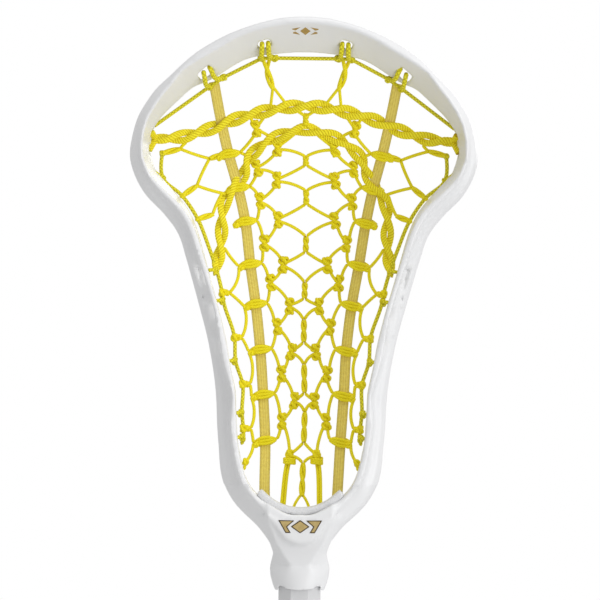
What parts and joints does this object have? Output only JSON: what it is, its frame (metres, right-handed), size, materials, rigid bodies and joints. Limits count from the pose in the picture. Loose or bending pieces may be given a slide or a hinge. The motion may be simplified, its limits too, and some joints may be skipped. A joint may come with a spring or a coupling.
{
  "type": "lacrosse stick",
  "caption": "Lacrosse stick: a moulded, strung head with a shallow pocket on an octagonal tube shaft, closed by a pull-off rubber butt cap.",
  "frame": {"origin": "centre of the butt cap's flat bottom face, on the shaft's axis", "axes": "+Z along the shaft from the butt to the scoop; the open face of the head looks along -Y and the pocket hangs towards +Y; +X is to the right of a person looking into the open face"},
  "size_m": [0.1938, 0.074, 1.0858],
  "materials": {
    "head_plastic": "satin-gloss moulded nylon, white",
    "foam": "closed-cell foam, light grey",
    "steel": "zinc-plated screw",
    "shaft_coat": "white powder coat on alloy tube",
    "cap_rubber": "matt black rubber",
    "gold": "gold paint",
    "thong_webbing": "woven nylon webbing, dull gold-yellow",
    "shooting_lace": "soft flat ribbed lace, yellow",
    "cord": "braided nylon cord, bright yellow"
  },
  "bodies": {
    "stick": {"arch_shooting_lace_a": "shooting_lace", "arch_shooting_lace_b": "shooting_lace", "ball_stop": "foam", "bottom_lace_left": "cord", "bottom_lace_right": "cord", "centre_lace": "cord", "cross_lace_inner_left": "cord", "cross_lace_inner_right": "cord", "cross_lace_outer_left": "cord", "cross_lace_outer_right": "cord", "hanger_lace_left": "cord", "hanger_lace_right": "cord", "head_frame": "head_plastic", "scoop_emblem": "gold", "shaft": "shaft_coat", "sidewall_string_left": "cord", "sidewall_string_right": "cord", "thong_left": "thong_webbing", "thong_right": "thong_webbing", "throat_emblem": "gold", "top_string": "cord", "upper_shooting_lace_a": "shooting_lace", "upper_shooting_lace_b": "shooting_lace"},
    "end_cap": {"end_cap": "cap_rubber"},
    "head_screw": {"head_screw": "steel"}
  },
  "joints": [
    {"name": "end_cap_pull", "type": "slide", "parent": "stick", "child": "end_cap", "axis": [0, 0, -1], "range_m": [0, 0.045]},
    {"name": "head_screw_turn", "type": "hinge", "parent": "stick", "child": "head_screw", "pos_m": [0, 0.012, 0.783], "axis": [0, 1, 0], "continuous": true}
  ]
}
